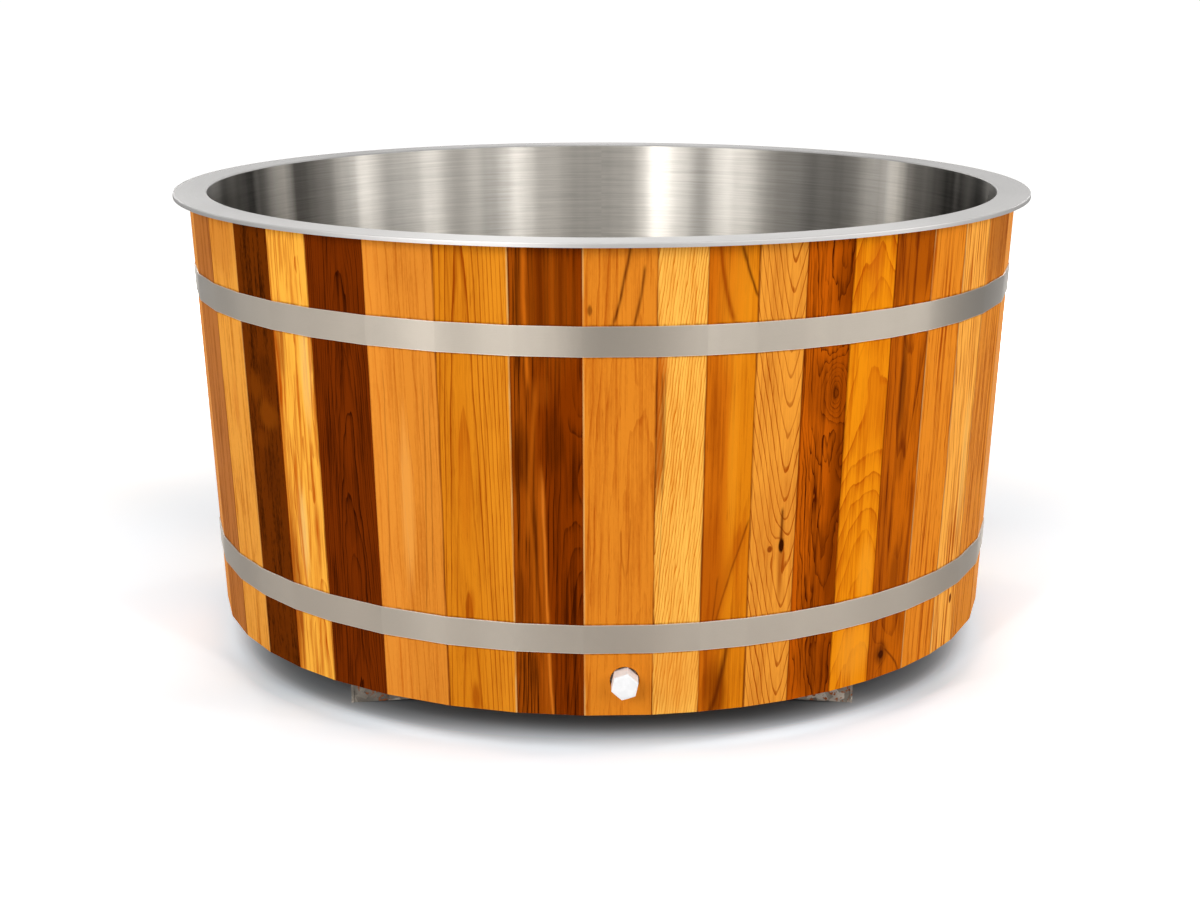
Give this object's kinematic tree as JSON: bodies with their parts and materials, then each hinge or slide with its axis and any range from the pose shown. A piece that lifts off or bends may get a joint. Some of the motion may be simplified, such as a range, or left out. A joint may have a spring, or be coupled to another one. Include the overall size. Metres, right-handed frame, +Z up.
{
  "type": "cold plunge tub",
  "caption": "Round cold plunge tub: open stainless steel tub with a wide flat rim, in a tapered jacket of flat timber staves held by steel bands, on low steel bearers, with a screwed drain cap.",
  "frame": {"origin": "on the ground under the centre of the tub", "axes": "+Z up; the drain outlet faces -Y, which is the front; +X is to the right seen from the front"},
  "size_m": [1.6498, 1.6498, 0.873],
  "materials": {
    "brushed_stainless": "brushed round the tub, satin",
    "satin_stainless": "satin",
    "galvanised_steel": "dull mottled zinc",
    "closed_cell_foam": "matte",
    "black_rubber": "matte",
    "white_plastic": "semi-gloss",
    "wood_pale": "oiled, satin",
    "wood_gold": "oiled, satin",
    "wood_orange": "oiled, satin",
    "wood_amber": "oiled, satin",
    "wood_tan": "oiled, satin",
    "wood_brown": "oiled, satin",
    "wood_walnut": "oiled, satin"
  },
  "bodies": {
    "root": {"rim_flange": "brushed_stainless", "liner_wall": "brushed_stainless", "liner_floor": "brushed_stainless", "insulation": "closed_cell_foam", "floor_boards": "wood_orange", "upper_band": "satin_stainless", "lower_band": "satin_stainless", "band_fasteners": "satin_stainless", "front_bearer": "galvanised_steel", "rear_bearer": "galvanised_steel", "joists": "galvanised_steel", "drain_strainer": "satin_stainless", "drain_flange": "satin_stainless", "drain_gasket": "black_rubber", "drain_locknut": "white_plastic", "drain_elbow": "white_plastic", "drain_pipe": "white_plastic", "drain_adapter": "white_plastic", "stave_01": "wood_tan", "stave_02": "wood_orange", "stave_03": "wood_walnut", "stave_04": "wood_pale", "stave_05": "wood_brown", "stave_06": "wood_orange", "stave_07": "wood_gold", "stave_08": "wood_walnut", "stave_09": "wood_orange", "stave_10": "wood_pale", "stave_11": "wood_amber", "stave_12": "wood_gold", "stave_13": "wood_brown", "stave_14": "wood_gold", "stave_15": "wood_amber", "stave_16": "wood_orange", "stave_17": "wood_pale", "stave_18": "wood_tan", "stave_19": "wood_orange", "stave_20": "wood_gold", "stave_21": "wood_brown", "stave_22": "wood_pale", "stave_23": "wood_orange", "stave_24": "wood_walnut", "stave_25": "wood_amber", "stave_26": "wood_orange", "stave_27": "wood_gold", "stave_28": "wood_brown", "stave_29": "wood_pale", "stave_30": "wood_orange", "stave_31": "wood_walnut", "stave_32": "wood_amber", "stave_33": "wood_orange", "stave_34": "wood_gold", "stave_35": "wood_brown", "stave_36": "wood_pale", "stave_37": "wood_orange", "stave_38": "wood_walnut", "stave_39": "wood_amber", "stave_40": "wood_orange"},
    "cap_washer": {"drain_cap_washer": "black_rubber"},
    "cap": {"drain_cap": "white_plastic"}
  },
  "joints": [
    {"name": "cap_travel", "type": "slide", "parent": "root", "child": "cap_washer", "axis": [0, -1, 0], "range_m": [0, 0.0112]},
    {"name": "cap_turn", "type": "hinge", "parent": "cap_washer", "child": "cap", "pos_m": [0.038, -0.78, 0.125], "axis": [0, -1, 0], "range_deg": [0, 1800]}
  ],
  "couplings": [
    {"joint": "cap_travel", "follows": "cap_turn", "m_per_rad": 0.00035153}
  ]
}
